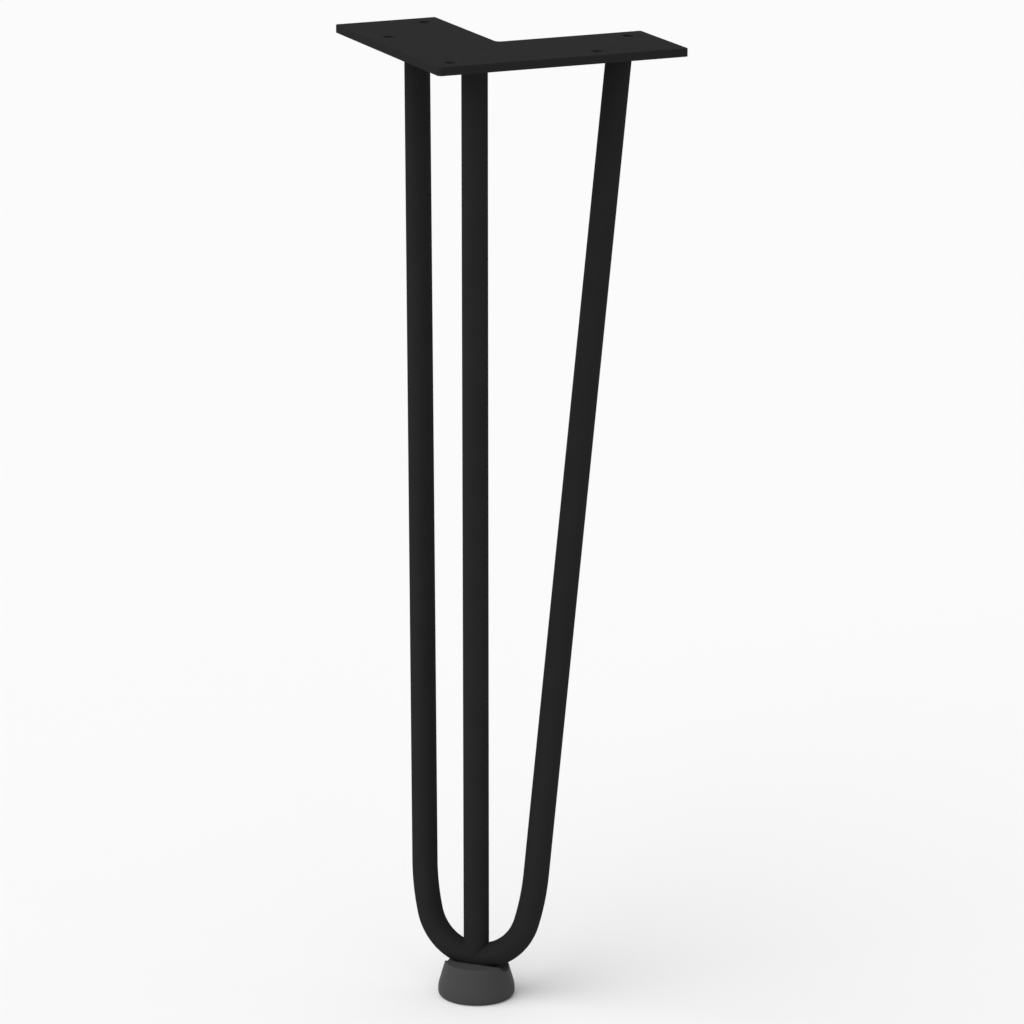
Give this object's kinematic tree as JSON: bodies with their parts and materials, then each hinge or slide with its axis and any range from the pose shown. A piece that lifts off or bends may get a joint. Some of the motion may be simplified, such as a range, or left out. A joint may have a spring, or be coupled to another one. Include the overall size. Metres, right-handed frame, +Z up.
{
  "type": "hairpin table leg",
  "caption": "Hairpin table leg: bent round steel rods welded under an L-shaped corner plate, standing on a flared dark grey foot.",
  "frame": {"origin": "on the axis of the corner rod, in the top face of the mounting plate that lies against the table top's underside", "axes": "+X and +Y run from the plate's outer corner along its two arms, and +Z points up into the table top, so the foot is at -Z"},
  "size_m": [0.122, 0.122, 0.45],
  "materials": {
    "black_coat": "satin black powder coat",
    "foot_grey": "smooth matte dark grey"
  },
  "bodies": {
    "root": {"mounting_plate": "black_coat", "corner_rod": "black_coat", "hairpin_rod": "black_coat", "corner_rod_weld": "black_coat", "left_leg_weld": "black_coat", "right_leg_weld": "black_coat", "foot": "foot_grey"}
  },
  "joints": []
}
